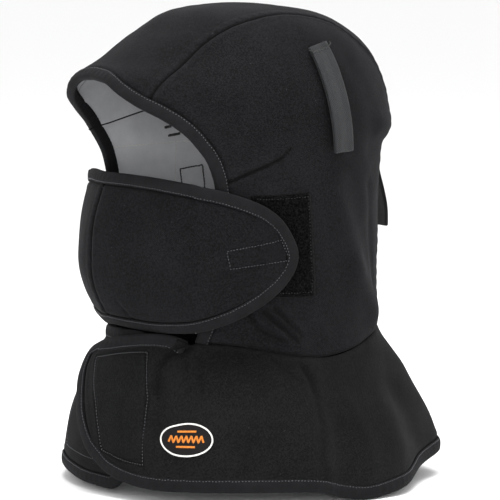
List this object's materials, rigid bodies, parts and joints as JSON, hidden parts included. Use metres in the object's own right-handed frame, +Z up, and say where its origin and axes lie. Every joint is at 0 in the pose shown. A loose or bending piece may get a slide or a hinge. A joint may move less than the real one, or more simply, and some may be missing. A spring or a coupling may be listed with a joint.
{
  "type": "hard hat liner",
  "caption": "Cloth hood worn under a hard hat, with a bound face opening, a cheek guard held by hook and loop, and a shoulder cape with crossing front flaps.",
  "frame": {"origin": "inside of the crown where the top of the head sits, on the middle plane", "axes": "+Z up, -Y ahead of the wearer, +X to the wearer's left"},
  "size_m": [0.2886, 0.2877, 0.3579],
  "materials": {
    "shell_cloth": "matt brushed twill",
    "cape_cloth": "matt brushed twill",
    "guard_cloth": "matt brushed twill",
    "silver_lining": "soft sheen",
    "binding_tape": "matt woven tape",
    "loop_pile": "fuzzy matt",
    "hook_tape": "matt",
    "grey_webbing": "woven webbing",
    "black_webbing": "woven webbing",
    "badge_field_cloth": "embroidered",
    "badge_border_thread": "embroidered"
  },
  "bodies": {
    "root": {"crown_panel": "shell_cloth", "side_panel_left": "shell_cloth", "side_panel_right": "shell_cloth", "hood_lining": "silver_lining", "face_binding": "binding_tape", "cape": "cape_cloth", "cape_binding": "binding_tape", "guard_panel_left": "guard_cloth", "guard_panel_right": "guard_cloth", "guard_binding": "binding_tape", "loop_patch_left": "loop_pile", "loop_patch_right": "loop_pile", "hook_patch_left": "hook_tape", "hook_patch_right": "hook_tape", "side_strap_left": "grey_webbing", "side_strap_right": "grey_webbing", "rear_strap": "black_webbing", "badge_field": "badge_field_cloth", "badge_border": "badge_border_thread"}
  },
  "joints": []
}
